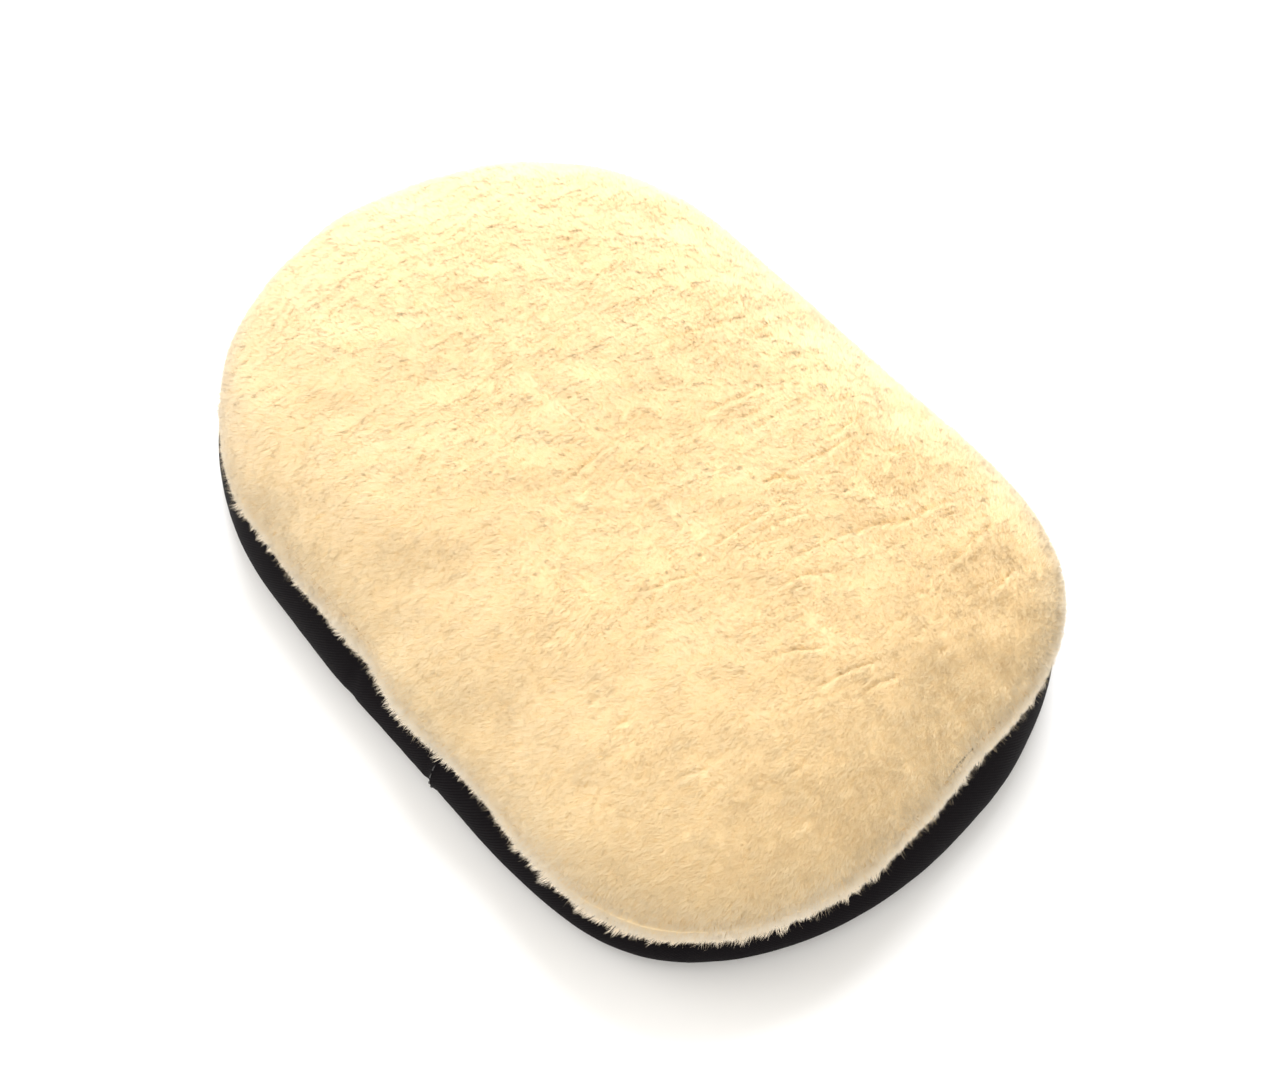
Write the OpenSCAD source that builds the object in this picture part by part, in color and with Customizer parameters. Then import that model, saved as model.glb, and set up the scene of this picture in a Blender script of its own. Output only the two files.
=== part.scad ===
// Wash mitt: a thick wool pile on a foam pad, with a black fabric wall and back.
// It lies on its back with the pile up. +X points to the fingertip end, +Z out of
// the pile, and the origin is the middle of the footprint, on the surface it lies on.

/* [Outline] */
// Length from the wrist end to the fingertip end
mitt_l = 240; // [200:1:280]
// Width across the two long sides
mitt_w = 163; // [140:1:190]
// Squareness of the fingertip end's left corner
tip_left = 6; // [3:0.1:8]
// Squareness of the fingertip end's right corner
tip_right = 5.2; // [3:0.1:8]
// Squareness of the wrist end's left corner
wrist_left = 4.4; // [3:0.1:8]
// Squareness of the wrist end's right corner
wrist_right = 3.7; // [3:0.1:8]
// Fullness of the left long side, where 2 is a plain ellipse
side_left = 1.62; // [1.5:0.01:2.4]
// Fullness of the right long side
side_right = 1.93; // [1.5:0.01:2.4]

/* [Layers] */
// Thickness of the black back and wall fabric
fabric_t = 1.2; // [0.8:0.1:1.6]
// Height of the hand space over the back fabric
hand_h = 11.6; // [10:0.1:20]
// Thickness of the lining that faces the hand
lining_t = 0.8; // [0.5:0.1:1.2]
// Thickness of the foam pad
foam_t = 7.6; // [6:0.1:12]
// Thickness of the knitted backing that the pile grows from
backing_t = 1.2; // [0.8:0.1:2]
// Length of the wool pile over its backing, at the middle
pile_t = 21.6; // [16:0.1:30]

/* [Wall] */
// Height of the widest line of the wall
bulge_z = 7; // [5:0.1:9]
// How far the foot of the wall lies inside its widest line
foot_in = 4; // [2:0.1:5]
// How far the top of the wall lies inside its widest line
top_in = 8.5; // [8:0.1:9]

/* [Pile] */
// How far the pile hangs down outside the wall
skirt_h = 4.2; // [3.5:0.1:4.5]
// How far the pile's lower edge lies inside its widest line
lip_in = 2.8; // [1:0.1:3]
// Height above the backing at which the pile is widest
shoulder_h = 1.6; // [0.5:0.1:4]
// How far in from the edge the pile reaches its full height
crown_in = 60; // [40:1:64]
// Squareness of the pile's shoulder
crown_e = 2.4; // [2:0.1:3]

/* [Mouth] */
// Distance of the mouth from the middle, towards the wrist
mouth_back = 12; // [0:1:40]
// Gap between the two elastic hems, as the mitt lies
mouth_gap = 10; // [8:0.5:16]
// Width of each hem
hem_w = 9; // [8:0.5:12]
// Height of each hem
hem_h = 3.4; // [3:0.1:3.8]
// Thickness of a hem's fabric
hem_t = 0.8; // [0.5:0.1:0.9]
// Thickness of the elastic
elastic_t = 1.4; // [1:0.1:1.4]
// Gap between the moving pocket and the wall
pocket_gap = 0.5; // [0.4:0.1:1]

/* [Seams] */
// Height of the tape that binds the raw edges
binding_h = 3.6; // [3:0.1:4]
// Thickness of the folded binding tape
binding_t = 1.4; // [1:0.1:1.4]
// Thickness of the sewing thread
thread_d = 0.4; // [0.3:0.05:0.45]

/* [Smoothness] */
// Points round the outline
edge_n = 80; // [48:8:120]
// Steps of the pile from its shoulder to its crown
crown_n = 9; // [6:1:14]
// Steps up the wall
wall_n = 8; // [6:1:12]

/* [Hidden] */

WOOL = "#f3dfba";
BACKING = "#e6d6b8";
FOAM = "#c9c6bd";
LINING = "#3a3a3d";
BLACK = "#1b1b1d";
TAPE = "#242426";
THREAD = "#2c2c2f";

// Levels, from the surface that the mitt lies on
lining_z = fabric_t + hand_h;
foam_z = lining_z + lining_t;
wall_h = foam_z + foam_t;
pile_z = wall_h + backing_t;
shoulder_z = pile_z + shoulder_h;
top_z = pile_z + pile_t;
skirt_z = wall_h - skirt_h;

// Distances in from the outline
panel_in = foot_in + fabric_t;
lower_binding_in = panel_in - binding_t;
pile_gap = 0.7;
seam_z = wall_h - 2;
seam_h = 0.3;

// Distances in from the outside of the wall
ease = 0.1;
upper_binding_gap = fabric_t + ease;
lining_gap = upper_binding_gap + binding_t + ease;
foam_gap = lining_gap + lining_t;
lower_binding_z = fabric_t + 0.5;

// The mouth's edges along X
mouth_x = -mouth_back;
lip_x = mouth_x + mouth_gap / 2;
heel_x = mouth_x - mouth_gap / 2;
elastic_w = hem_w - 2 * hem_t - 0.6;
elastic_in = panel_in + 3;
bartack_l = 4;
join_x = 24;

far = 400;

// Squareness of the corner that x and the side belong to
function corner(x, left) = x >= 0 ? (left ? tip_left : tip_right) : (left ? wrist_left : wrist_right);

// Half width of the outline at x, moved in by the inset
function half_width(x, inset, left) =
    let (u = min(1, abs(x) / (mitt_l / 2 - inset)))
    (mitt_w / 2 - inset) * pow(1 - pow(u, corner(x, left)), 1 / (left ? side_left : side_right));

// Point of the outline at the angle t, moved in by the inset
function edge_point(t, inset) =
    let (x = (mitt_l / 2 - inset) * cos(t), left = t < 180)
    [x, (left ? 1 : -1) * half_width(x, inset, left)];

function ring(inset) = [for (i = [0:edge_n - 1]) edge_point(360 * i / edge_n, inset)];

// How far the outside of the wall lies inside the outline at the height z
function wall_in(z) = z < bulge_z
    ? foot_in * pow(1 - z / bulge_z, 2)
    : top_in * pow((z - bulge_z) / (wall_h - bulge_z), 2);

// Rings from z0 to z1 that follow the wall, at a gap inside its outer face
function by_wall(z0, z1, gap, n) = [for (k = [0:n])
    let (z = z0 + (z1 - z0) * k / n)
    [z, wall_in(z) + gap]];

module slab(inset, z, h) {
    translate([0, 0, z]) linear_extrude(h) polygon(ring(inset));
}

module band(outer_in, t, z, h) {
    translate([0, 0, z]) linear_extrude(h) difference() {
        polygon(ring(outer_in));
        polygon(ring(outer_in + t));
    }
}

// A skin through a list of [z, inset] rings, closed on itself or capped at both ends
module loft(levels, closed) {
    n = len(levels);
    points = [for (l = levels) for (p = ring(l[1])) [p[0], p[1], l[0]]];
    at = function (k, i) (k % n) * edge_n + i % edge_n;
    sides = [
        for (k = [0:n - (closed ? 1 : 2)]) for (i = [0:edge_n - 1])
            for (face = [
                [at(k, i), at(k + 1, i + 1), at(k, i + 1)],
                [at(k, i), at(k + 1, i), at(k + 1, i + 1)],
            ]) face
    ];
    caps = closed ? [] : [
        [for (i = [0:edge_n - 1]) at(0, i)],
        [for (i = [edge_n - 1:-1:0]) at(n - 1, i)],
    ];
    polyhedron(points, concat(sides, caps));
}

module wool_pile() {
    dome = [for (k = [0:crown_n])
        let (t = cos(90 * k / crown_n), rise = pow(1 - pow(t, crown_e), 1 / crown_e))
        [shoulder_z + (top_z - shoulder_z) * rise, crown_in * (1 - t)]];
    skirt = [for (k = [0:3])
        let (u = k / 4)
        [skirt_z + (shoulder_z - skirt_z) * u, lip_in * pow(1 - u, 2)]];
    levels = concat(
        [for (k = [crown_n:-1:0]) dome[k]],
        [for (k = [3:-1:0]) skirt[k]],
        by_wall(skirt_z, wall_h, -pile_gap, 3),
        [[pile_z, top_in - pile_gap]]
    );
    color(WOOL) loft(levels, false);
}

module fleece_backing() {
    color(BACKING) slab(top_in, wall_h, backing_t);
}

module foam_pad() {
    color(FOAM) loft(by_wall(wall_h, foam_z, foam_gap + ease, 4), false);
}

module palm_lining() {
    inside = by_wall(foam_z, wall_h, foam_gap, 4);
    outside = by_wall(wall_h, lining_z, lining_gap, 4);
    color(LINING) loft(concat(inside, outside), false);
}

module side_gusset() {
    inside = by_wall(wall_h, 0, fabric_t, wall_n);
    outside = by_wall(0, wall_h, 0, wall_n);
    color(BLACK) loft(concat(inside, outside), true);
}

module upper_seam_binding() {
    high = wall_h - 0.6;
    low = high - binding_h;
    inside = by_wall(high, low, upper_binding_gap + binding_t, 2);
    outside = by_wall(low, high, upper_binding_gap, 2);
    color(TAPE) loft(concat(inside, outside), true);
}

module lower_seam_binding() {
    color(TAPE) band(lower_binding_in, binding_t, lower_binding_z, binding_h);
}

module fleece_seam_thread() {
    color(WOOL) band(wall_in(seam_z) - pile_gap + 0.04, seam_h, seam_z - seam_h, seam_h);
}

module back_seam_thread() {
    color(THREAD) band(lower_binding_in + 0.5, thread_d, lower_binding_z + binding_h, thread_d);
}

// Short upright stitches where the two ends of the wall strip are sewn together
module gusset_join_thread() {
    stitch_l = 2;
    side_y = half_width(join_x, 0, false);
    color(THREAD) for (k = [0:3]) {
        z = 4 + 3 * k;
        lean = atan2(wall_in(z + stitch_l) - wall_in(z), stitch_l);
        translate([join_x, wall_in(z) - side_y - thread_d, z])
            rotate([-lean, 0, 0]) cylinder(d = thread_d, h = stitch_l, $fn = 16);
    }
}

// The part of a child shape that lies between two places along X
module between(x0, x1) {
    intersection() {
        children();
        translate([x0, -far / 2, -far / 2]) cube([x1 - x0, far, far]);
    }
}

// A folded hem that starts at x and holds an elastic
module hem(x, inset) {
    difference() {
        between(x, x + hem_w) slab(inset, 0, hem_h);
        translate([x + hem_t, -far / 2, hem_t])
            cube([hem_w - 2 * hem_t, far, hem_h - 2 * hem_t]);
    }
}

module elastic(x) {
    low = (hem_h - elastic_t) / 2;
    inner_x = x + (hem_w - elastic_w) / 2;
    between(inner_x, inner_x + elastic_w) slab(elastic_in, low, elastic_t);
}

module hem_thread(x) {
    between(x, x + thread_d) slab(elastic_in, hem_h, thread_d);
}

module heel_panel() {
    color(BLACK) between(-far / 2, heel_x - hem_w) slab(panel_in, 0, fabric_t);
}

module heel_hem() {
    color(BLACK) hem(heel_x - hem_w, panel_in);
}

module heel_elastic() {
    color(TAPE) elastic(heel_x - hem_w);
}

module heel_hem_thread() {
    color(THREAD) hem_thread(heel_x - hem_w + hem_t);
}

module pocket_panel() {
    color(BLACK) between(lip_x + hem_w, far / 2) slab(panel_in + pocket_gap, 0, fabric_t);
}

module pocket_hem() {
    color(BLACK) hem(lip_x, panel_in + pocket_gap);
}

module pocket_elastic() {
    color(TAPE) elastic(lip_x);
}

module pocket_hem_thread() {
    color(THREAD) hem_thread(lip_x + hem_w - hem_t - thread_d);
}

// Dense zigzag stitching that closes one end of the mouth
module bartack(left) {
    outer_y = half_width(mouth_x, panel_in, left) - 1;
    translate([heel_x, left ? outer_y - bartack_l : -outer_y, 0.4])
        cube([mouth_gap - pocket_gap, bartack_l, fabric_t]);
}

module mouth_bartack_left() {
    color(THREAD) bartack(true);
}

module mouth_bartack_right() {
    color(THREAD) bartack(false);
}

wool_pile();
fleece_backing();
foam_pad();
palm_lining();
side_gusset();
upper_seam_binding();
lower_seam_binding();
fleece_seam_thread();
back_seam_thread();
gusset_join_thread();
heel_panel();
heel_hem();
heel_elastic();
heel_hem_thread();
pocket_panel();
pocket_hem();
pocket_elastic();
pocket_hem_thread();
mouth_bartack_left();
mouth_bartack_right();
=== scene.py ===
"""A wash mitt: a thick cream wool pile on a foam pad, with a black fabric wall and back."""

import itertools
import math

import bmesh
import bpy
import numpy as np
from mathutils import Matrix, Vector
from mathutils.kdtree import KDTree


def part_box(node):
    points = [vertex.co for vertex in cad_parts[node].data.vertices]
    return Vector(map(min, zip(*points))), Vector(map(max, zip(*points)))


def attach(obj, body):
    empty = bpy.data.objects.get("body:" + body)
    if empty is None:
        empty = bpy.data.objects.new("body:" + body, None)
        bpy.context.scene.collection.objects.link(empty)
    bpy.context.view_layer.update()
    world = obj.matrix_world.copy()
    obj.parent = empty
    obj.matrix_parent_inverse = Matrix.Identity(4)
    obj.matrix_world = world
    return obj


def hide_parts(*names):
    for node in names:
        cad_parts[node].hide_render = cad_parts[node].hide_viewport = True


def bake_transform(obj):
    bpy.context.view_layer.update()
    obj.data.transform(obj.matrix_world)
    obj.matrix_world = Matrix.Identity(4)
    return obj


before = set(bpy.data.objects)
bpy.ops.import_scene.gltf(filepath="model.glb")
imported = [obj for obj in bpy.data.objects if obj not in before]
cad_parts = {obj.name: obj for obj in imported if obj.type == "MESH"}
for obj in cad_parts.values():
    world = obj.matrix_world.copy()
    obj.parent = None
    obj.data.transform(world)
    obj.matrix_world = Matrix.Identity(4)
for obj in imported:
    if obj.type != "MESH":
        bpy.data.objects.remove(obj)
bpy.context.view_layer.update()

MITT, POCKET = "mitt", "pocket"
MM = 0.001
UP = np.array([0.0, 0.0, 1.0])


def levels(node):
    """A CAD node's lowest and highest corners, in mm."""
    low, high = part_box(node)
    return np.array(low) / MM, np.array(high) / MM


# Sizes in mm, from the frame.
wall_low, wall_high = levels("side_gusset")
pile_low, pile_high = levels("wool_pile")
lining_low, lining_high = levels("palm_lining")
foam_low, foam_high = levels("foam_pad")
backing_low, backing_high = levels("fleece_backing")
heel_low, heel_high = levels("heel_panel")
heel_hem_low, heel_hem_high = levels("heel_hem")
pocket_low, pocket_high = levels("pocket_panel")
lip_low, lip_high = levels("pocket_hem")
HALF_L = wall_high[0]
HALF_W = (wall_high[1] - wall_low[1]) / 2
WALL_H = wall_high[2]
TOP_Z = pile_high[2]
SKIRT_Z = pile_low[2]
PILE_Z = backing_high[2]
FABRIC_T = heel_high[2]

# The outline's corners and sides, as in the CAD model.
TIP_LEFT, TIP_RIGHT, WRIST_LEFT, WRIST_RIGHT = 6.0, 5.2, 4.4, 3.7
SIDE_LEFT, SIDE_RIGHT = 1.62, 1.93
BULGE_Z, FOOT_IN = 7.0, 4.0
TOP_IN = HALF_L - backing_high[0]
SHOULDER_Z = PILE_Z + 1.6
CROWN_IN, CROWN_E = 60.0, 2.4
JOIN_X = 24.0


# ---- shape of the mitt


def half_width(x, inset, left):
    """Half width of the outline at x, moved in by the inset."""
    u = np.clip(np.abs(x) / (HALF_L - inset), 0, 1)
    corner = np.where(
        x >= 0,
        np.where(left, TIP_LEFT, TIP_RIGHT),
        np.where(left, WRIST_LEFT, WRIST_RIGHT),
    )
    side = np.where(left, SIDE_LEFT, SIDE_RIGHT)
    return (HALF_W - inset) * (1 - u**corner) ** (1 / side)


def right_side(x, inset):
    """How far the outline's right side lies from the middle at one x, moved in by inset."""
    return float(half_width(np.array([x]), inset, np.array([False]))[0])


def edge_points(turn, inset):
    """Points of the outline at the angles turn (radians), moved in by inset."""
    x = (HALF_L - inset) * np.cos(turn)
    left = np.sin(turn) >= 0
    y = np.where(left, 1, -1) * half_width(x, inset, left)
    return np.stack([x, y], axis=-1)


def ring_at(turn, inset, z):
    """The outline's points at the angles turn, moved in by inset, at the height z."""
    return np.column_stack([edge_points(turn, inset), np.broadcast_to(z, len(turn))])


def wall_in(z):
    """How far the outside of the wall lies inside the outline at the height z."""
    low = FOOT_IN * (1 - z / BULGE_Z) ** 2
    high = TOP_IN * ((z - BULGE_Z) / (WALL_H - BULGE_Z)) ** 2
    return np.where(z < BULGE_Z, low, high)


def turns(count):
    return np.linspace(0, 2 * math.pi, count, endpoint=False)


def ripple(points, size, seed, waves=14):
    """A smooth random field over points (mm), about -1 to 1, with features of that size."""
    rng = np.random.default_rng(seed)
    ways = rng.normal(size=(waves, 3))
    ways /= np.linalg.norm(ways, axis=1, keepdims=True)
    ways *= 2 * math.pi / (size * rng.uniform(0.7, 1.5, (waves, 1)))
    shift = rng.uniform(0, 2 * math.pi, waves)
    return np.sin(points @ ways.T + shift).sum(axis=1) / math.sqrt(waves)


# ---- meshes


def placed(name, data):
    """A new object in the scene."""
    obj = bpy.data.objects.new(name, data)
    bpy.context.scene.collection.objects.link(obj)
    return obj


def piece(name, points, faces, material, body):
    """A smooth mesh object from points in mm that rides on a body, unless body is None."""
    mesh = bpy.data.meshes.new(name)
    mesh.from_pydata((np.asarray(points) * MM).tolist(), [], [list(f) for f in faces])
    if material:
        mesh.materials.append(material)
    mesh.polygons.foreach_set("use_smooth", [True] * len(mesh.polygons))
    mesh.update()
    obj = placed(name, mesh)
    if body:
        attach(obj, body)
    return obj


def grid_faces(rows, columns, wrap_rows=False, wrap_columns=True):
    """Quads over a grid of rows by columns, with either way closed on itself."""
    last_row = rows if wrap_rows else rows - 1
    last_column = columns if wrap_columns else columns - 1
    r, c = np.meshgrid(np.arange(last_row), np.arange(last_column), indexing="ij")
    r2, c2 = (r + 1) % rows, (c + 1) % columns
    quads = [r * columns + c, r2 * columns + c, r2 * columns + c2, r * columns + c2]
    return np.stack(quads, axis=-1).reshape(-1, 4)


def fast_triangles(name, points, triangles, material, normals, values, uv):
    """A triangle mesh on the mitt from big arrays, with its own normals, point values and export map."""
    mesh = bpy.data.meshes.new(name)
    mesh.vertices.add(len(points))
    mesh.vertices.foreach_set("co", (points * MM).astype(np.float32).ravel())
    mesh.loops.add(triangles.size)
    mesh.polygons.add(len(triangles))
    mesh.loops.foreach_set("vertex_index", triangles.astype(np.int32).ravel())
    mesh.polygons.foreach_set("loop_start", np.arange(0, triangles.size, 3, dtype=np.int32))
    mesh.polygons.foreach_set("use_smooth", [True] * len(triangles))
    for key, value in values.items():
        mesh.attributes.new(key, "FLOAT", "POINT").data.foreach_set("value", value.astype(np.float32))
    layer = mesh.uv_layers.new(name="OFBake")
    layer.uv.foreach_set("vector", uv[triangles.ravel()].astype(np.float32).ravel())
    mesh.update(calc_edges=True)
    own = mesh.attributes.new("custom_normal", "FLOAT_VECTOR", "POINT")
    own.data.foreach_set("vector", normals.astype(np.float32).ravel())
    mesh.materials.append(material)
    obj = placed(name, mesh)
    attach(obj, MITT)
    return obj


def unit(v):
    return v / np.maximum(np.linalg.norm(v, axis=-1, keepdims=True), 1e-9)


# ---- materials


class Nodes:
    """A material's node tree, with short calls to add and join nodes."""

    def __init__(self, name):
        self.material = bpy.data.materials.new(name)
        self.material.use_nodes = True
        self.tree = self.material.node_tree
        self.shader = self.tree.nodes["Principled BSDF"]
        self.place = self.add("ShaderNodeTexCoord").outputs["Object"]

    def add(self, kind, **inputs):
        node = self.tree.nodes.new(kind)
        for key, value in inputs.items():
            self.feed(node, key, value)
        return node

    def feed(self, node, key, value):
        """Sets an input, or an option of the node, or joins another node's output to it."""
        name = key.replace("_", " ")
        sockets = {s.name: s for s in reversed(node.inputs) if s.enabled}
        if name in sockets:
            self.put(sockets[name], value)
        else:
            setattr(node, key, value)

    def put(self, socket, value):
        """Joins another node's output to a socket, or sets the socket's own value."""
        if isinstance(value, bpy.types.NodeSocket):
            self.tree.links.new(value, socket)
        else:
            socket.default_value = (*value, 1) if socket.type == "RGBA" else value

    def over(self, kind, output, place=None, **inputs):
        """The output of a texture or mapping node over the object's own space, or over place."""
        node = self.add(kind, **inputs)
        self.tree.links.new(place or self.place, node.inputs["Vector"])
        return node.outputs[output]

    def noise(self, scale, detail=3.0, roughness=0.55, place=None):
        return self.over("ShaderNodeTexNoise", "Fac", place, Scale=scale, Detail=detail, Roughness=roughness)

    def ramp(self, value, stops):
        """Colours or greys over a value: stops is a list of (place, (r, g, b) or grey)."""
        node = self.add("ShaderNodeValToRGB", Fac=value)
        points = node.color_ramp.elements
        while len(points) < len(stops):
            points.new(0.5)
        for point, (where, shade) in zip(points, stops):
            point.position = where
            tone = shade if isinstance(shade, tuple) else (shade, shade, shade)
            point.color = (*tone, 1)
        return node.outputs["Color"]

    def math(self, operation, a, b=0.0):
        node = self.tree.nodes.new("ShaderNodeMath")
        node.operation = operation
        for socket, value in zip(node.inputs, (a, b)):
            self.put(socket, value)
        return node.outputs[0]

    def mix(self, factor, a, b, blend="MIX"):
        node = self.tree.nodes.new("ShaderNodeMix")
        node.data_type = "RGBA"
        node.blend_type = blend
        for socket, value in zip((node.inputs[0], node.inputs[6], node.inputs[7]), (factor, a, b)):
            self.put(socket, value)
        return node.outputs[2]

    def bump(self, height, strength, depth_mm):
        node = self.add("ShaderNodeBump", Strength=strength, Distance=depth_mm * MM, Height=height)
        self.tree.links.new(node.outputs["Normal"], self.shader.inputs["Normal"])

    def finish(self, colour=None, rough=None, **fixed):
        if colour is not None:
            self.tree.links.new(colour, self.shader.inputs["Base Color"])
        if rough is not None:
            self.tree.links.new(rough, self.shader.inputs["Roughness"])
        for key, value in fixed.items():
            self.shader.inputs[key.replace("_", " ")].default_value = value
        return self.material


# WOOL_MID at the fibres' roots and WOOL_DEEP in the pile's lower part are deeper than WOOL_PALE at the tips:
# painted shade deep in the pile.
WOOL_PALE = (0.985, 0.815, 0.53)
WOOL_MID = (0.98, 0.77, 0.46)
WOOL_DEEP = (0.97, 0.73, 0.42)
# The paler, greyer cream of the mitt's sides and lower edge: painted shade.
WOOL_EDGE_SHADE = (0.955, 0.875, 0.75)
BLACK = ((0.0022, 0.0016, 0.0021), (0.0070, 0.0055, 0.0068))


def strokes(n):
    """A fine grain that runs across the mitt, as the pile lies: long along Y and short along X."""
    return n.noise(620.0, 3.0, 0.6, n.over("ShaderNodeMapping", "Vector", Scale=(1.0, 0.3, 1.0)))


def wool_fibre_material():
    """Cream fibres, paler at the tip. Painted shade: a deeper cream at the root, deep in the pile; golden in
    a crease; paler and greyer at the mitt's sides and lower edge.
    """
    n = Nodes("wool_fibre")
    along, tint, painted_edge_shade = (
        n.add("ShaderNodeAttribute", attribute_name=name).outputs["Fac"] for name in ("along", "tint", "painted_edge_shade")
    )
    # Deeper cream at the root and paler at the tip: painted shade deep in the pile.
    body = n.mix(painted_edge_shade, n.ramp(along, [(0.0, WOOL_MID), (1.0, WOOL_PALE)]), WOOL_EDGE_SHADE)
    # The golden low end is a random tone per clump and, in a crease, painted shade.
    shade = n.ramp(tint, [(0.0, (0.97, 0.86, 0.66)), (0.22, (1.0, 0.985, 0.96)), (1.0, (1.0, 1.0, 1.0))])
    patch = n.ramp(n.noise(34.0, 3.0), [(0.3, (0.985, 0.96, 0.92)), (0.7, (1.0, 1.0, 1.0))])
    grain = n.ramp(strokes(n), [(0.3, (0.98, 0.955, 0.91)), (0.6, (1.0, 1.0, 1.0))])
    colour = n.mix(1.0, n.mix(1.0, body, shade, "MULTIPLY"), n.mix(1.0, patch, grain, "MULTIPLY"), "MULTIPLY")
    return n.finish(colour, Roughness=0.9, Sheen_Weight=0.1, Sheen_Roughness=0.5, Specular_IOR_Level=0.1)


def wool_root_material():
    """The pile's dense lower part, seen between the fibres, painted a deeper cream as shade deep in the pile.
    """
    n = Nodes("wool_root")
    colour = n.ramp(strokes(n), [(0.25, WOOL_DEEP), (0.6, WOOL_MID)])
    n.bump(n.math("ADD", strokes(n), n.noise(1500.0, 2.0)), 0.6, 0.25)
    return n.finish(colour, Roughness=0.95, Specular_IOR_Level=0.1)


def woven(name, dark, light, pitch_mm, rough, mapped=False):
    """Plain-woven cloth: over and under threads with an uneven dye and a little sheen."""
    n = Nodes(name)
    place = n.add("ShaderNodeUVMap", uv_map="weave").outputs["UV"] if mapped else n.place
    split = n.add("ShaderNodeSeparateXYZ", Vector=place)
    turn = math.pi / (pitch_mm * MM)
    ridges = [
        n.math("ABSOLUTE", n.math("SINE", n.math("MULTIPLY", split.outputs[axis], turn)))
        for axis in "XY"
    ]
    on_top = n.over("ShaderNodeTexChecker", "Fac", place, Scale=1 / (pitch_mm * MM))
    thread = n.mix(on_top, *(n.ramp(ridge, [(0, 0.0), (1, 1.0)]) for ridge in ridges))
    worn = n.noise(22.0, 4.0)
    tone = n.math("ADD", n.math("MULTIPLY", thread, 0.45), n.math("MULTIPLY", worn, 0.55))
    n.bump(n.math("ADD", thread, n.noise(1400.0, 2.0)), 0.7, 0.12)
    return n.finish(
        n.ramp(tone, [(0.15, dark), (0.85, light)]),
        n.ramp(worn, [(0.3, rough - 0.07), (0.7, rough + 0.07)]),
        Sheen_Weight=0.006,
        Sheen_Roughness=0.4,
        Specular_IOR_Level=0.03,
    )


def knitted(name, dark, light):
    """The knitted backing that the pile grows from: small offset loops."""
    n = Nodes(name)
    loops = n.over("ShaderNodeTexVoronoi", "Distance", Scale=620.0, Randomness=0.35)
    n.bump(loops, 0.8, 0.3)
    colour = n.ramp(n.math("ADD", loops, n.noise(40.0)), [(0.3, light), (1.1, dark)])
    return n.finish(colour, Roughness=0.9, Sheen_Weight=0.2, Specular_IOR_Level=0.2)


def open_foam(name, dark, light):
    """Open-cell foam: fine pits of two sizes."""
    n = Nodes(name)
    cells = n.over("ShaderNodeTexVoronoi", "Distance", Scale=900.0)
    pits = n.math("MULTIPLY", cells, n.noise(350.0, 2.0))
    n.bump(pits, 0.9, 0.5)
    return n.finish(n.ramp(pits, [(0.1, dark), (0.4, light)]), Roughness=0.95, Specular_IOR_Level=0.1)


def twisted(name, dark, light):
    """Sewing thread: fine slanting plies."""
    n = Nodes(name)
    plies = n.over("ShaderNodeTexWave", "Fac", Scale=1800.0, Distortion=1.5, bands_direction="DIAGONAL")
    n.bump(plies, 0.6, 0.06)
    colour = n.ramp(n.math("ADD", plies, n.noise(300.0)), [(0.4, dark), (1.4, light)])
    return n.finish(colour, Roughness=0.5, Sheen_Weight=0.2, Specular_IOR_Level=0.4)


def ribbed(name, dark, light, pitch_mm, mapped=False):
    """Tape or elastic: ribs along its length with a soft shine."""
    n = Nodes(name)
    place = n.add("ShaderNodeUVMap", uv_map="weave").outputs["UV"] if mapped else n.place
    ribs = n.over("ShaderNodeTexWave", "Fac", place, Scale=0.314 / (pitch_mm * MM), bands_direction="X")
    n.bump(n.math("ADD", ribs, n.noise(900.0)), 0.7, 0.12)
    colour = n.ramp(n.math("ADD", ribs, n.noise(60.0)), [(0.3, dark), (1.5, light)])
    return n.finish(colour, Roughness=0.62, Sheen_Weight=0.25, Specular_IOR_Level=0.3)


# ---- wool pile

ROOT_DEPTH = 1.5
FIBRE_COUNT = 430000
FIBRE_PIECES = 10
FIBRE_WIDTH = 0.08
FRINGE_COUNT = 19800
FUZZ_COUNT = 36000
CLUMP_SIZE, TUFT_SIZE = 1.25, 4.0
CLUMP_STRETCH = np.array([1.0, 0.4, 0.7])
LIE = np.array([-0.2, -0.98, 0.0])
CREASES = 170
TUFT_SHADE = 0.12

# How far the pile's edge is set back from its plain line (mm), by direction (degrees from +X).
# Where it is below zero, the edge hangs lower over the wall instead.
SET_BACK = (
    (-176, 0.0), (-166, 0.5), (-155, 0.8), (-148, 2.0), (-140, 2.2), (-130, 1.6), (-123, 3.2),
    (-110, 3.6), (-93, 4.0), (-84, 1.2), (-76, 1.0), (-68, 2.6), (-61, 2.7), (-55, 0.8), (-50, 0.0),
    (-45, -1.5), (-36, -2.2), (-31, -1.5), (-26, -1.5), (-20, -0.5), (-14, 0.2), (-8, 2.2),
    (-2, 4.2), (3, 4.9), (9, 5.7), (15, 3.7), (21, 2.0), (27, 0.7), (33, 0.1), (40, 0.0), (180, 0.0),
)
LIP_RISE = 2.7
EDGE_STEPS = 240
CROWN_RINGS = (80.5, 77, 74, 71, 68, 64)


def set_back(points):
    """How far the pile's edge is moved in from its plain line, at each point's direction."""
    turn = np.degrees(np.arctan2(points[:, 1], points[:, 0]))
    return np.interp(turn, *zip(*SET_BACK), period=360)


def dome_profile(steps, deep):
    """(height, inset) down the pile's dome, from its crown to the backing, moved in by deep."""
    profile = []
    for k in range(steps, -1, -1):
        t = math.cos(math.pi / 2 * k / steps)
        rise = (1 - t**CROWN_E) ** (1 / CROWN_E)
        z = SHOULDER_Z + (TOP_Z - deep - SHOULDER_Z) * rise
        profile.append((z, deep + (CROWN_IN - deep) * (1 - t)))
    profile.append((PILE_Z, deep))
    return profile


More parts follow.
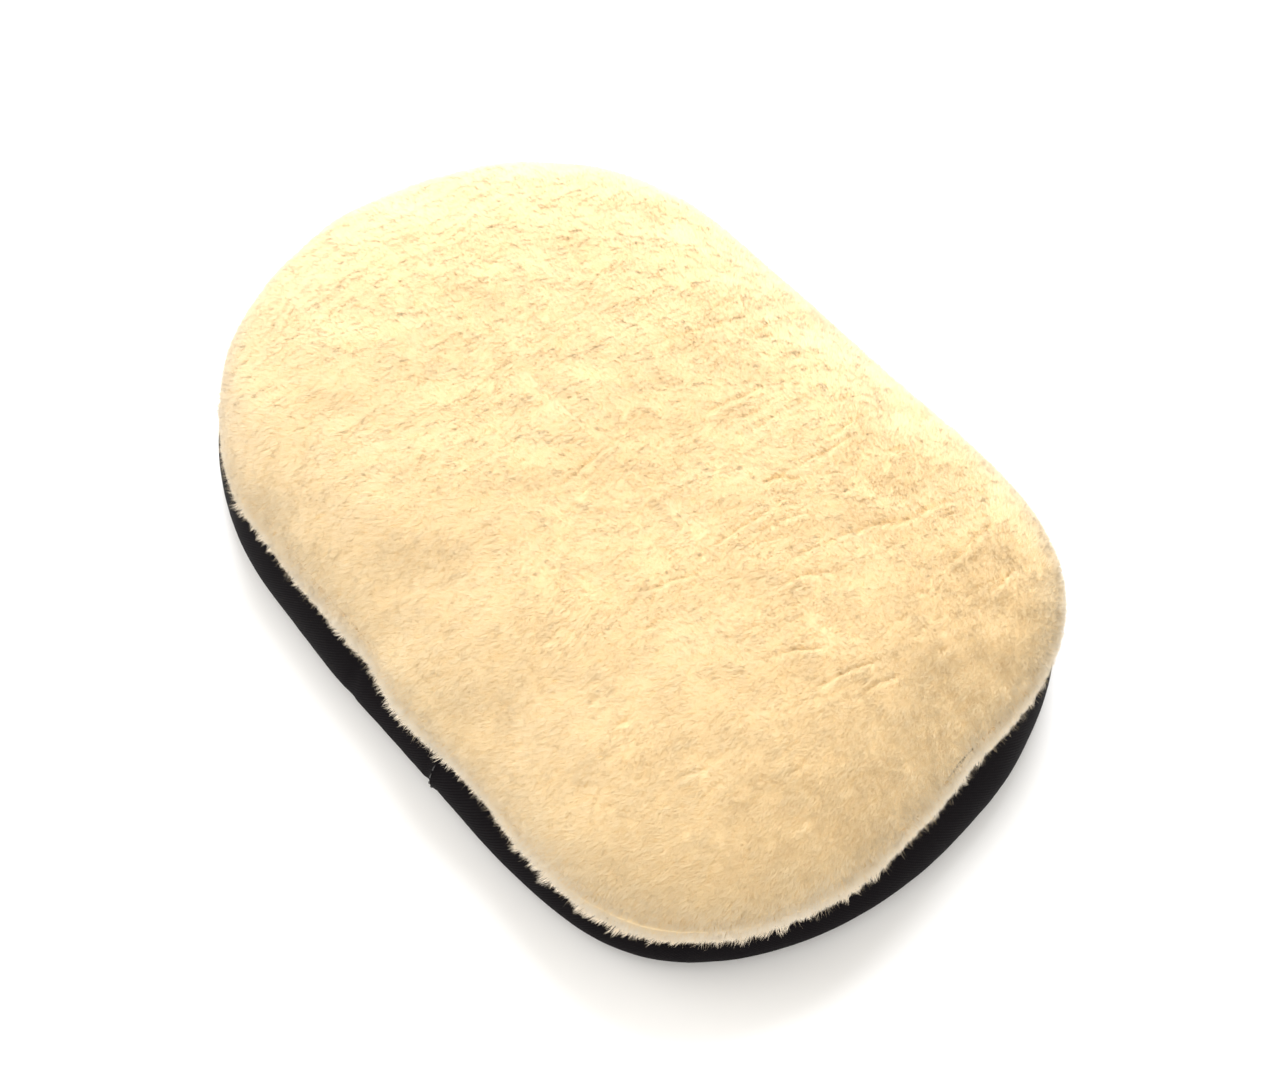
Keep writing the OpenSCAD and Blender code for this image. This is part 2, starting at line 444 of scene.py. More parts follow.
def rings_of(profile, around):
    return [ring_at(turns(around), inset, z) for z, inset in profile]


def lip_height(back):
    """The height of the pile's lower edge where the pile is set back so far."""
    return np.minimum(SKIRT_Z + LIP_RISE + np.where(back < 0, 0.9, 0.3) * back, WALL_H - 0.6)


def edge_shift(turn):
    """How far in the pile's shoulder lies, over its plain line, at the angles turn."""
    back = set_back(edge_points(turn, 0))
    return np.where(back < 0, 0.7, 1.0) * back


def dome_rings(profile, around, deep):
    """The rings of the pile's dome, moved in near the edge as far as the pile is set back."""
    turn = turns(around)
    back = edge_shift(turn)
    rings = []
    for z, inset in profile:
        share = 1 - (inset - deep) / (CROWN_IN - deep)
        rings.append(ring_at(turn, inset + back * share**3, z))
    return rings


def capped(name, rings, material, body):
    """A closed skin through rings, with a fan in the first and the last ring."""
    rows, around = len(rings), len(rings[0])
    ends = np.array([rings[0].mean(axis=0), rings[-1].mean(axis=0)])
    points = np.concatenate(rings + [ends])
    faces = grid_faces(rows, around).tolist()
    first, last = rows * around, rows * around + 1
    for i in range(around):
        j = (i + 1) % around
        faces.append((first, i, j))
        faces.append((last, (rows - 1) * around + j, (rows - 1) * around + i))
    return piece(name, points, faces, material, body)


def mesh_arrays(obj):
    """A mesh's points in mm, its triangles and its points' normals."""
    mesh = obj.data
    mesh.calc_loop_triangles()
    rows = ((mesh.vertices, "co", np.float32), (mesh.loop_triangles, "vertices", np.int32),
            (mesh.vertices, "normal", np.float32))
    found = []
    for items, key, kind in rows:
        values = np.zeros(len(items) * 3, kind)
        items.foreach_get(key, values)
        found.append(values.reshape(-1, 3))
    return found[0] / MM, found[1], found[2]


def set_points(obj, points):
    obj.data.vertices.foreach_set("co", (points * MM).astype(np.float32).ravel())
    obj.data.update()


def apply_modifiers(obj):
    bpy.context.view_layer.objects.active = obj
    for modifier in list(obj.modifiers):
        bpy.ops.object.modifier_apply(modifier=modifier.name)


CLOTH_STEPS = 20


def puff(obj, voxel, pressure, cap, hold):
    """Swells a closed padded piece as cloth under pressure, with a limit on how far a point may move.
    hold is a function of the points (mm) that gives 1 where the cloth is sewn down, 0 where it is free.
    Returns the evenly meshed points and how far each one moved."""
    remesh = obj.modifiers.new("even", "REMESH")
    remesh.mode = "VOXEL"
    remesh.voxel_size = voxel * MM
    apply_modifiers(obj)
    before = mesh_arrays(obj)[0]
    shift = np.zeros_like(before)
    sewn = obj.vertex_groups.new(name="sewn")
    for index, weight in enumerate(hold(before)):
        sewn.add([index], float(weight), "REPLACE")
    cloth = obj.modifiers.new("cloth", "CLOTH")
    cloth.settings.vertex_group_mass = "sewn"
    cloth.settings.use_pressure = True
    cloth.settings.uniform_pressure_force = pressure
    cloth.settings.effector_weights.gravity = 0
    cloth.settings.quality = 5
    cloth.point_cache.frame_start, cloth.point_cache.frame_end = 1, CLOTH_STEPS
    for step in range(1, CLOTH_STEPS + 1):
        bpy.context.scene.frame_set(step)
    apply_modifiers(obj)
    bpy.context.scene.frame_set(1)
    moved = mesh_arrays(obj)[0] - before
    far = np.linalg.norm(moved, axis=1, keepdims=True)
    shift = moved * cap * np.tanh(far / cap) / np.maximum(far, 1e-6)
    set_points(obj, before + shift)
    smooth = obj.modifiers.new("smooth", "SMOOTH")
    smooth.factor, smooth.iterations = 0.5, 4
    fine = obj.modifiers.new("fine", "SUBSURF")
    fine.levels = 2
    apply_modifiers(obj)
    obj.data.polygons.foreach_set("use_smooth", [True] * len(obj.data.polygons))
    return before, shift


def follow(points, before, shift):
    """points moved as the nearest points of a swollen piece have moved."""
    tree = KDTree(len(before))
    for index, point in enumerate(before):
        tree.insert(point, index)
    tree.balance()
    moved = points.copy()
    for k, point in enumerate(points):
        near = tree.find_n(point, 6)
        moved[k] += np.mean([shift[index] for _, index, _ in near], axis=0)
    return moved


def swell(points):
    """The pile's low waves, which grow from its shoulder to its crown."""
    top = np.clip((points[:, 2] - SHOULDER_Z) / 10, 0, 1)
    points[:, 2] += top * (0.55 * ripple(points, 46, 3) + 0.3 * ripple(points, 17, 4))
    return points


def pile_core(material, creases):
    """The dense inside of the pile: a padded dome on the knitted backing."""
    deep = ROOT_DEPTH + 0.35
    rings = dome_rings(dome_profile(14, deep), 120, deep)
    core = capped("pile_core", rings, material, MITT)
    sewn = lambda points: (points[:, 2] < PILE_Z + 1.5).astype(float)
    before, shift = puff(core, voxel=4.5, pressure=4.0, cap=2.2, hold=sewn)
    points, _, _ = mesh_arrays(core)
    points[:, 2] = np.maximum(points[:, 2], PILE_Z)
    points = swell(points)
    top = np.clip((points[:, 2] - SHOULDER_Z - 4) / 6, 0, 1)
    points[:, 2] -= creased(points, creases)[0] * top
    set_points(core, points)
    return core, before, shift


def under_ring(turn, u, cover=0.0):
    """A ring of the surface that the fibres grow from, where it rolls under from its shoulder (u = 1)
    to its lower edge (u = 0), moved out by cover."""
    back = set_back(edge_points(turn, 0))
    low = lip_height(back)
    top = ROOT_DEPTH + edge_shift(turn)
    inset = top + (wall_in(low) - 0.3 - top) * max(1 - u, 0) ** 2
    return ring_at(turn, inset - cover, low + (SHOULDER_Z - low) * u)


def pile_skirt(material):
    """The thin lower edge of the pile, which rolls under and meets the wall."""
    turn = turns(EDGE_STEPS)
    outer = [under_ring(turn, u, -0.2) for u in np.linspace(1.6, 0, 12)]
    heights = [ring[:, 2] for ring in outer[::-1]]
    rings = outer + [ring_at(turn, wall_in(np.minimum(z, WALL_H)) - 0.05, z) for z in heights]
    faces = grid_faces(len(rings), EDGE_STEPS, wrap_rows=True)
    return piece("pile_skirt", np.concatenate(rings), faces, material, MITT)


def root_surface(before, shift):
    """A loose surface over the core and the skirt, from which the fibres are spread."""
    turn = turns(EDGE_STEPS)
    rings = rings_of([(TOP_Z - ROOT_DEPTH, inset) for inset in CROWN_RINGS], EDGE_STEPS)
    rings += dome_rings(dome_profile(22, ROOT_DEPTH)[:-1], EDGE_STEPS, ROOT_DEPTH)
    rings += [under_ring(turn, u) for u in np.linspace(1, 0, 9)[1:]]
    surface = capped("roots", rings, None, None)
    points, _, _ = mesh_arrays(surface)
    free = np.clip((points[:, 2] - SHOULDER_Z) / 4, 0, 1)[:, None]
    points += free * (follow(points, before, shift) - points)
    set_points(surface, swell(points))
    return surface


def scatter(obj, count, rng, keep):
    """count places over a mesh, spread evenly by area where keep(points, normals) is true."""
    points, triangles, normals = mesh_arrays(obj)
    a, b, c = (points[triangles[:, i]] for i in range(3))
    area = np.linalg.norm(np.cross(b - a, c - a), axis=1)
    area *= keep((a + b + c) / 3, unit(np.cross(b - a, c - a)))
    chosen = rng.choice(len(area), count, p=area / area.sum())
    u, v = rng.random((2, count, 1))
    u, v = np.where(u + v > 1, 1 - u, u), np.where(u + v > 1, 1 - v, v)
    corner = triangles[chosen]
    shares = (1 - u - v, u, v)
    mix = lambda values: sum(values[corner[:, i]] * share for i, share in enumerate(shares))
    return mix(points), unit(mix(normals))


# What makes four even chances out of a cell's number: a direction for each, and one factor.
CLUMP_WAYS = np.array([[12.7, 31.1, 7.3], [26.9, 18.3, 41.7], [9.1, 47.3, 15.9], [33.7, 5.9, 23.3]])
CLUMP_FACTOR = 43758.5453


def clump(points, size):
    """The nearest centre of an uneven scatter of clumps to each point, and a number 0 to 1 per clump.
    The clumps are longer across the mitt than along it."""
    points = points * CLUMP_STRETCH
    cell = np.floor(points / size)
    best = np.full(len(points), np.inf)
    centre, mark = np.zeros_like(points), np.zeros(len(points))
    for shift in itertools.product((-1, 0, 1), repeat=3):
        c = cell + shift
        chance = [np.modf(np.abs(np.sin(c @ way) * CLUMP_FACTOR))[0] for way in CLUMP_WAYS]
        place = (c + np.stack(chance[:3], axis=1)) * size
        away = np.linalg.norm(place - points, axis=1)
        near = away < best
        best = np.where(near, away, best)
        centre[near], mark[near] = place[near], chance[3][near]
    return centre / CLUMP_STRETCH, mark


def tangent(vectors, normals):
    """vectors without their part along the normals."""
    return vectors - normals * (vectors * normals).sum(axis=1, keepdims=True)


def crease_list():
    """Shallow creases in the pile: place, angle, half length, width, depth and bow of each (mm)."""
    rng = np.random.default_rng(19)
    found = []
    for k in range(CREASES):
        long = k < CREASES // 6
        if long or rng.random() < 0.5:
            x, y = rng.uniform(-25, 88), rng.uniform(-14, 66)
        else:
            x, y = rng.uniform(-106, 108), rng.uniform(-68, 68)
        angle = math.radians(rng.normal(81, 9))
        half = rng.uniform(5, 15) if long else rng.uniform(1.2, 5)
        deep = rng.uniform(0.9, 1.5) if long else rng.uniform(0.25, 0.9)
        found.append((x, y, angle, half, rng.uniform(0.35, 0.7), deep, rng.normal(0, 0.12)))
    return found


def creased(points, creases):
    """For points (mm): how deep the creases are there, how much painted shade darkens them, and how far each
    side is pushed apart.
    """
    depth, dark = np.zeros(len(points)), np.zeros(len(points))
    push = np.zeros((len(points), 2))
    for x, y, angle, half, wide, deep, bow in creases:
        along = np.array([math.cos(angle), math.sin(angle)])
        across = np.array([-along[1], along[0]])
        near = np.flatnonzero((np.abs(points[:, 0] - x) < half + 4) & (np.abs(points[:, 1] - y) < half + 4))
        place = points[near, :2] - (x, y)
        u = place @ along / half
        v = place @ across + bow * half * u**2 + 0.25 * np.sin(u * 5 + x)
        near, u, v = near[np.abs(u) < 1], u[np.abs(u) < 1], v[np.abs(u) < 1]
        fade = (1 - u**2) * deep
        valley = np.exp(-((v / wide) ** 2))
        depth[near] += fade * (valley - 0.4 * np.exp(-(((v + 2 * wide) / (1.6 * wide)) ** 2)))
        # dark: painted shade in the crease's valley, which turns the fibres there golden.
        dark[near] += fade * valley
        push[near] += (fade * 0.6 * np.sign(v) * np.exp(-((v / (1.5 * wide)) ** 2)))[:, None] * across
    return depth, np.clip(dark, 0, 1), push


def fibre_shape(levels):
    """A closed three-sided fibre with rings at the levels and a tip: its faces, and its export map."""
    rings = len(levels)
    faces = [(0, 2, 1)]
    for r in range(rings):
        for k in range(3):
            a, b = 3 * r + k, 3 * r + (k + 1) % 3
            if r + 1 < rings:
                faces += [(a, b, b + 3), (a, b + 3, a + 3)]
            else:
                faces.append((a, b, 3 * rings))
    uv = [(0.2 + 0.3 * k, 0.15 + 0.65 * level) for level in levels for k in range(3)] + [(0.5, 0.9)]
    along = [level for level in levels for _ in range(3)] + [1.0]
    return np.array(faces), np.array(uv), np.array(along)


def fibres(name, roots, tips, normals, shade, tint, painted_edge_shade, width, material, levels=(0.0,), bow=0.0):
    """Tapered fibres from roots to tips, as one mesh of closed solids. Bowed ones rise, then bend over."""
    count = len(roots)
    faces, uv, along = fibre_shape(levels)
    size = len(along)
    way = unit(tips - roots)
    side = unit(np.cross(way, normals + [0.013, 0.017, 0.0]))
    other = np.cross(way, side)
    reach = np.linalg.norm(tips - roots, axis=1, keepdims=True)
    points = np.empty((count, size, 3))
    shading = np.empty((count, size, 3))
    for r, level in enumerate(levels):
        centre = roots + (tips - roots) * level + normals * reach * bow * 4 * level * (1 - level)
        for k, corner in enumerate(np.radians([0, 120, 240])):
            out = math.cos(corner) * side + math.sin(corner) * other
            points[:, 3 * r + k] = centre + out * (width * (1 - 0.3 * level))[:, None]
            shading[:, 3 * r + k] = unit(out * 0.12 + shade)
    points[:, -1] = tips
    shading[:, -1] = unit(shade + way * 0.1)
    triangles = (np.arange(count)[:, None, None] * size + faces).reshape(-1, 3)
    cells = math.ceil(math.sqrt(count))
    cell = np.stack([np.arange(count) % cells, np.arange(count) // cells], axis=1)
    places = ((cell[:, None] + uv) / cells).reshape(-1, 2)
    values = {"along": np.tile(along, count), "tint": np.repeat(tint, size), "painted_edge_shade": np.repeat(painted_edge_shade, size)}
    return fast_triangles(
        name, points.reshape(-1, 3), triangles, material, shading.reshape(-1, 3), values, places
    )


def combed(roots, normals, rng, height, lean):
    """Tips for fibres that stand height over their roots and lean with the pile's lie, and how
    they are shaded: each clump and tuft as one soft rounded form."""
    swirl = 0.2 * ripple(roots, 34, 11) + 0.15 * ripple(roots, 9, 12)
    turned = np.column_stack([
        LIE[0] * np.cos(swirl) - LIE[1] * np.sin(swirl),
        LIE[0] * np.sin(swirl) + LIE[1] * np.cos(swirl),
        np.zeros(len(roots)),
    ])
    side = np.clip(1.1 - normals[:, 2:], 0, 1)
    lie = tangent(turned * (1 - 0.8 * side) - UP * 0.75 * side, normals)
    lie = lie + tangent(rng.normal(0, 0.3, roots.shape), normals)
    centre, mark = clump(roots, CLUMP_SIZE)
    apart = tangent(roots - centre, normals)
    spread = np.minimum(np.linalg.norm(apart * CLUMP_STRETCH, axis=1) / (0.6 * CLUMP_SIZE), 1)
    height = height * (1.05 - 0.09 * spread**2 + 0.1 * side[:, 0] * (mark - 0.5))
    tips = roots + normals * height[:, None] + lie * (height * lean)[:, None] - apart * (0.13 + 0.1 * side)
    tuft, _ = clump(roots, TUFT_SIZE)
    apart_tuft = tangent(roots - tuft, normals)
    tips -= apart_tuft * 0.05
    soft = TUFT_SHADE * (1 + 0.4 * side)
    shade = unit(normals + apart * soft / CLUMP_SIZE + apart_tuft * 0.5 * soft / TUFT_SIZE)
    return tips, mark, shade


def wool(fibre, root):
    """The whole pile: its dense core and skirt, the fibres over them, and the fringe at the edge."""
    creases = crease_list()
    core, before, shift = pile_core(root, creases)
    skirt = pile_skirt(root)
    surface = root_surface(before, shift)
    rng = np.random.default_rng(7)
    above = lambda p, n: (n[:, 2] > -0.93) * (p[:, 2] > SKIRT_Z)
    roots, normals = scatter(surface, FIBRE_COUNT, rng, above)
    low = np.clip((SHOULDER_Z - roots[:, 2]) / (SHOULDER_Z - SKIRT_Z - LIP_RISE), 0, 1)
    height = 1.22 * (1 - 0.3 * low) * rng.normal(1, 0.09, len(roots))
    tips, mark, shade = combed(roots, normals, rng, height, 0.95)
    depth, dark, push = creased(roots, creases)
    roots[:, 2] -= depth
    tips[:, 2] -= depth * 0.8
    tips[:, :2] += push
    # A lower tint in a crease is painted shade. Elsewhere it is a random tone per clump.
    tint = np.clip(0.5 * mark + 0.5 * rng.random(len(roots)), 0, 1) * (1 - 0.9 * dark)
    # Paler and greyer fibres low down and on the sides: painted shade.
    painted_edge_shade = 0.9 * np.clip(low + 1.1 * (1 - normals[:, 2]), 0, 1)
    width = FIBRE_WIDTH * rng.uniform(0.75, 1.25, len(roots))
    parts = [core, skirt]
    for k, part in enumerate(np.array_split(np.argsort(roots[:, 0]), FIBRE_PIECES)):
        values = (each[part] for each in (roots, tips, normals, shade, tint, painted_edge_shade, width))
        parts.append(fibres(f"pile_fibres_{k + 1}", *values, fibre))
    parts += [fuzz(surface, fibre, rng), fringe(surface, fibre, rng)]
    bpy.data.objects.remove(surface)
    for obj in parts:
        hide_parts("wool_pile")


def fuzz(surface, material, rng):
    """Sparse finer and longer fibres, which soften the pile's outline."""
    above = lambda p, n: (n[:, 2] > -0.3) * (p[:, 2] > SKIRT_Z + 2)
    roots, normals = scatter(surface, FUZZ_COUNT, rng, above)
    height = rng.uniform(1.6, 2.9, len(roots))
    side = np.clip(1.1 - normals[:, 2:], 0, 1)
    lie = tangent(LIE * (1 - side) - UP * 0.7 * side + rng.normal(0, 0.5, roots.shape), normals)
    tips = roots + normals * height[:, None] + lie * (height * 0.6)[:, None]
    width = np.full(len(roots), 0.045)
    # Paler on the sides: painted shade.
    tint, painted_edge_shade = rng.random(len(roots)), 0.5 * side[:, 0]
    return fibres("pile_fuzz", roots, tips, normals, normals, tint, painted_edge_shade, width, material)


def fringe(surface, material, rng):
    """Longer tufts along the pile's lower edge, which spread over the top of the wall."""
    rise = lambda p: np.clip((SHOULDER_Z + 0.8 - p[:, 2]) / (SHOULDER_Z - lip_height(set_back(p))), 0, 1)
    roots, normals = scatter(surface, FRINGE_COUNT, rng, lambda p, n: (n[:, 2] > -0.95) * rise(p) ** 0.5)
    back = set_back(roots)
    out = unit(np.column_stack([normals[:, :2], 0 * roots[:, 2]]))
    down = rise(roots)
    centre, mark = clump(roots * [1, 1, 0.4], 1.7)
    apart = roots * [1, 1, 0.4] - centre
    reach = 2.2 + 0.8 * ripple(roots, 9, 31) + 2.2 * (mark - 0.45) - 0.6 * np.minimum(back, 0)
    reach = np.clip(reach, 1.1, 6.5) * rng.uniform(0.75, 1.1, len(roots)) * (0.85 + 0.15 * down)
    way = -UP * 0.5 + out * 0.7 + tangent(LIE, out) * 0.2 + [-0.3, 0, 0]
    way = unit(way + rng.normal(0, 0.13, roots.shape))
    tips = roots + way * reach[:, None] - tangent(apart, out) * 0.75
    width = FIBRE_WIDTH * rng.uniform(0.6, 1.0, len(roots))
    shade = unit(out + 0.75 * UP + 0.3 * tangent(apart, out) + 0.35 * (mark - 0.5)[:, None] * LIE)
    # The whole fringe paler and greyer: painted shade.
    tint, painted_edge_shade = 0.5 + 0.5 * mark, np.full(len(roots), 0.85)
    return fibres("pile_fringe", roots, tips, out, shade, tint, painted_edge_shade, width, material, (0.0, 0.5), 0.1)


# ---- fabric


def tidy(obj):
    """Makes the faces of a closed mesh look outwards and takes out doubled points."""
    mesh = bmesh.new()
    mesh.from_mesh(obj.data)
    bmesh.ops.remove_doubles(mesh, verts=mesh.verts, dist=1e-6)
    bmesh.ops.recalc_face_normals(mesh, faces=mesh.faces)
    mesh.to_mesh(obj.data)
    mesh.free()
    return obj


def weave_map(obj, rows, columns, along, across):
    """A map in metres over a mesh made of rows by columns: along per column, across per row.
    Both have one value more than the mesh wraps round, so that the last face isn't stretched back."""
    layer = obj.data.uv_layers.new(name="weave")
    uv = np.zeros((len(obj.data.loops), 2), np.float32)
    for polygon in obj.data.polygons:
        corners = [divmod(obj.data.loops[k].vertex_index, columns) for k in polygon.loop_indices]
        wide = max(c for _, c in corners) - min(c for _, c in corners) > 1
        tall = max(r for r, _ in corners) - min(r for r, _ in corners) > 1
        for k, (r, c) in zip(polygon.loop_indices, corners):
            c = c + columns if wide and c < columns / 2 else c
            r = r + rows if tall and r < rows / 2 else r
            uv[k] = along[c], across[r]
    layer.uv.foreach_set("vector", uv.ravel())


def lengths(points):
    """Distance along a closed row of points (mm), in metres, from the first point back to itself."""
    steps = np.linalg.norm(np.roll(points, -1, axis=0) - points, axis=1)
    return np.concatenate([[0], np.cumsum(steps)]) * MM


def outward(around):
    """Unit directions out of the outline at the turns."""
    loop = edge_points(turns(around), 0)
    way = np.roll(loop, -1, axis=0) - np.roll(loop, 1, axis=0)
    return unit(np.column_stack([way[:, 1], -way[:, 0]]))


def hoop(name, profile, around, material, relief):
    """A closed band round the mitt. profile is a closed list of (z, inset). relief gives how far (mm)
    each point of a ring stands out, from the ring's points and its height."""
    out = outward(around)
    rings = [
        ring + np.column_stack([out * relief(ring, z)[:, None], np.zeros(around)])
        for ring, (z, _) in zip(rings_of(profile, around), profile)
    ]
    faces = grid_faces(len(rings), around, wrap_rows=True)
    obj = piece(name, np.concatenate(rings), faces, material, None)
    loop = np.array([(inset, z) for z, inset in profile])
    weave_map(obj, len(rings), around, lengths(rings[0]), lengths(loop))
    return obj


def near_x(points, x, width):
    return np.exp(-(((points[:, 0] - x) / width) ** 2)) * (points[:, 1] < 0)


def wall_relief(points, z):
    """Small puckers at the wall's two seams, soft waves between them, a crease and the joining seam."""
    seam = math.exp(-z / 3.0) + 0.8 * math.exp(-(WALL_H - z) / 5.0)
    pucker = 0.16 * seam * ripple(points * [1, 1, 0.3], 7, 41)
    wave = 0.28 * math.sin(math.pi * min(z / WALL_H, 1)) * ripple(points * [1, 1, 0.5], 38, 42)
    crease = -0.9 * math.exp(-(((z - 12) / 6) ** 2)) * near_x(points, -8, 1.6)
    lip = 0.45 * near_x(points, JOIN_X + 0.8, 0.8) - 0.5 * near_x(points, JOIN_X - 0.7, 0.6)
    return pucker + wave + crease + lip


WALL_ROWS, WALL_STEPS = 22, 420


def wall(cloth):
    """The wall: one strip sewn into a ring. Returns its length round the mitt, in metres."""
    heights = 0.5 * WALL_H * (1 - np.cos(np.pi * np.arange(WALL_ROWS + 1) / WALL_ROWS))
    outer = [(z, float(wall_in(z))) for z in heights]
    inner = [(z, float(wall_in(z)) + FABRIC_T) for z in heights[::-1]]
    gusset = hoop("wall", outer + inner, WALL_STEPS, cloth, wall_relief)
    perimeter = lengths(edge_points(turns(WALL_STEPS), 0))[-1]
    height = sum(math.dist(a, b) for a, b in zip(outer, outer[1:])) * MM
    settle(gusset, "side_gusset")
    return perimeter


def shell(name, top, bottom, material):
    """A closed sheet between two grids of points of the same size."""
    rows, columns = top.shape[:2]
    points = np.concatenate([top.reshape(-1, 3), bottom.reshape(-1, 3)])
    grid = grid_faces(rows, columns, wrap_columns=False)
    faces = [*grid.tolist(), *(grid[:, ::-1] + rows * columns).tolist()]
    index = np.arange(rows * columns).reshape(rows, columns)
    rim = [*index[0, :], *index[1:, -1], *index[-1, -2::-1], *index[-2:0:-1, 0]]
    for a, b in zip(rim, rim[1:] + rim[:1]):
        faces.append((b, a, a + rows * columns, b + rows * columns))
    return tidy(piece(name, points, faces, material, None))


def panel(name, x0, x1, s0, s1, inset, material, gather_x, seed, size=(70, 60)):
    """A flat back panel from x0 to x1 and over s0 to s1 of the half width, gathered at gather_x."""
    along = x0 + (x1 - x0) * (1 - np.cos(np.linspace(0, math.pi, size[0]))) / 2
    side = np.linspace(s0, s1, size[1])
    x, s = np.meshgrid(along, side, indexing="ij")
    y = s * half_width(x, inset, s >= 0)
    flat = np.stack([x, y, np.zeros_like(x)], axis=-1)
    points = flat.reshape(-1, 3)
    gather = np.exp(-np.abs(points[:, 0] - gather_x) / 14) * (1 - np.abs(s.ravel()) ** 6)
    folds = ripple(points * [0.25, 1, 1], 8, seed)
    soft = ripple(points, 45, seed + 1) * (1 - np.abs(s.ravel()) ** 4)
    lift = np.maximum(0.42 * gather * (folds + 1.2) + 0.22 * (soft + 1.2), 0).reshape(x.shape)
    top, bottom = flat.copy(), flat.copy()
    bottom[..., 2] = lift
    top[..., 2] = lift + FABRIC_T
    return shell(name, top, bottom, material)


def gathered(points, gather, seed):
    """How much fuller a hem is where its elastic has gathered it."""
    return gather * (ripple(points * [0, 1, 0], 5.2, seed) + 0.6)


def cross_tube(name, section, s0, s1, inset, material, steps, gather=0.0, seed=0, hollow=None):
    """A tube across the mitt from s0 to s1 of the half width. section is a closed list of (x, z), and
    hollow, if given, is the section of the space in it."""
    def rows(shape, fall):
        rings = []
        for s in np.linspace(s0, s1, steps):
            ring = np.array([(x, s * half_width(x, inset, s >= 0), z) for x, z in shape])
            middle = ring.mean(axis=0)
            wave = fall * float(gathered(ring[:1], gather, seed)[0])
            ring[:, 2] += wave * (ring[:, 2] - middle[2]) / 2
            ring[:, 0] += wave * 0.5 * (ring[:, 0] - middle[0]) / 5
            ring[:, 2] -= min(ring[:, 2].min(), 0) if fall == 1 else 0
            rings.append(ring)
        return rings

    outer = rows(section, 1)
    count = len(section)
    if hollow is None:
        points = np.concatenate(outer)
        faces = grid_faces(steps, count).tolist()
        faces += [tuple(range(count)), tuple(range(len(points) - 1, len(points) - 1 - count, -1))]
    else:
        inner = rows(hollow, 0)
        points = np.concatenate(outer + inner)
        faces = grid_faces(steps, count)
        faces = [*faces.tolist(), *(faces[:, ::-1] + steps * count).tolist()]
        for row in (0, steps - 1):
            for k in range(count):
                a, b = row * count + k, row * count + (k + 1) % count
                faces.append((a, b, b + steps * count, a + steps * count))
    return tidy(piece(name, points, faces, material, None))


def rounded(x0, x1, z0, z1, radius, corner=4):
    """A rounded rectangle as a closed list of (x, z)."""
    centres = [(x1 - radius, z1 - radius), (x0 + radius, z1 - radius)]
    centres += [(x0 + radius, z0 + radius), (x1 - radius, z0 + radius)]
    return [
        (cx + radius * math.cos(a), cz + radius * math.sin(a))
        for k, (cx, cz) in enumerate(centres)
        for a in np.linspace(k * math.pi / 2, (k + 1) * math.pi / 2, corner)
    ]


STITCH_BOW, STITCH_SINK = 0.18, 0.12


def add_thread(points, faces, line, rise, radii):
    """Adds a six-sided thread with closed ends along a line (mm) to lists of points and faces."""
    way = unit(np.gradient(line, axis=0))
    side = unit(np.cross(way, rise))
    up = np.cross(side, way)
    first = len(points)
    for p, a, b, r in zip(line, side, up, radii):
        points += [p + r * (math.cos(q) * a + math.sin(q) * b) for q in turns(6)]
    faces += (grid_faces(len(line), 6) + first).tolist()
    last = len(points)
    faces += [tuple(range(first, first + 6)), tuple(range(last - 1, last - 7, -1))]


def stitches(name, path, raise_way, length, gap, material, thick=0.36):
    """Separate stitches along an open path (mm): each a small thread that dives in at both ends."""
    path = np.asarray(path, float)
    steps = np.linalg.norm(np.diff(path, axis=0), axis=1)
    far = np.concatenate([[0], np.cumsum(steps)])
    count = int(far[-1] // (length + gap))
    points, faces = [], []
    for k in range(count):
        start = (k + 0.5) * far[-1] / count - length / 2
        where = start + length * np.linspace(0, 1, 7)
        line, rise = (
            np.column_stack([np.interp(where, far, rows[:, axis]) for axis in range(3)])
            for rows in (path, raise_way)
        )
        t = np.linspace(-1, 1, 7)
        line = line + rise * (STITCH_BOW * (1 - t**2) - STITCH_SINK)[:, None]
        add_thread(points, faces, line, rise, thick / 2 * np.sqrt(np.clip(1.02 - t**4, 0.02, 1)))
    return tidy(piece(name, points, faces, material, None))


SEAM_STEPS = 720


def edge_path(inset, z):
    """The outline as a closed path at one height, with the directions out of it."""
    loop = ring_at(turns(SEAM_STEPS), inset, z)
    out = np.column_stack([outward(SEAM_STEPS), np.zeros(SEAM_STEPS)])
    return np.concatenate([loop, loop[:1]]), np.concatenate([out, out[:1]])


def cross_path(x, s0, s1, inset, z, gather, seed):
    """A path across the mitt, on top of a gathered hem."""
    s = np.linspace(s0, s1, 240)
    y = s * half_width(np.full(240, x), inset, s >= 0)
    path = np.column_stack([np.full(240, x), y, np.full(240, z)])
    path[:, 2] += 0.85 * gathered(path, gather, seed)
    return path, np.tile(UP, (240, 1))


def bartack(name, low, high, material):
    """Dense zigzag stitching in a box, over a few long threads."""
    x = np.linspace(low[0] + 0.2, high[0] - 0.2, 19)
    y = np.where(np.arange(19) % 2, high[1] - 0.3, low[1] + 0.3)
    z = (low[2] + high[2]) / 2
    zigzag = np.column_stack([x, y, np.full(19, z)])
    points, faces = [], []
    runs = [zigzag] + [
        np.array([(low[0] + 0.1, at, z), (high[0] - 0.1, at, z)])
        for at in np.linspace(low[1] + 0.6, high[1] - 0.6, 5)
    ]
    for run, thick, drop in zip(runs, [0.5] + [0.7] * 5, [0.12] + [0] * 5):
        run = run + UP * drop
        fine = np.concatenate([np.linspace(a, b, 8)[:-1] for a, b in zip(run, run[1:])] + [run[-1:]])
        add_thread(points, faces, fine, UP, [thick / 2] * len(fine))
    return tidy(piece(name, points, faces, material, None))


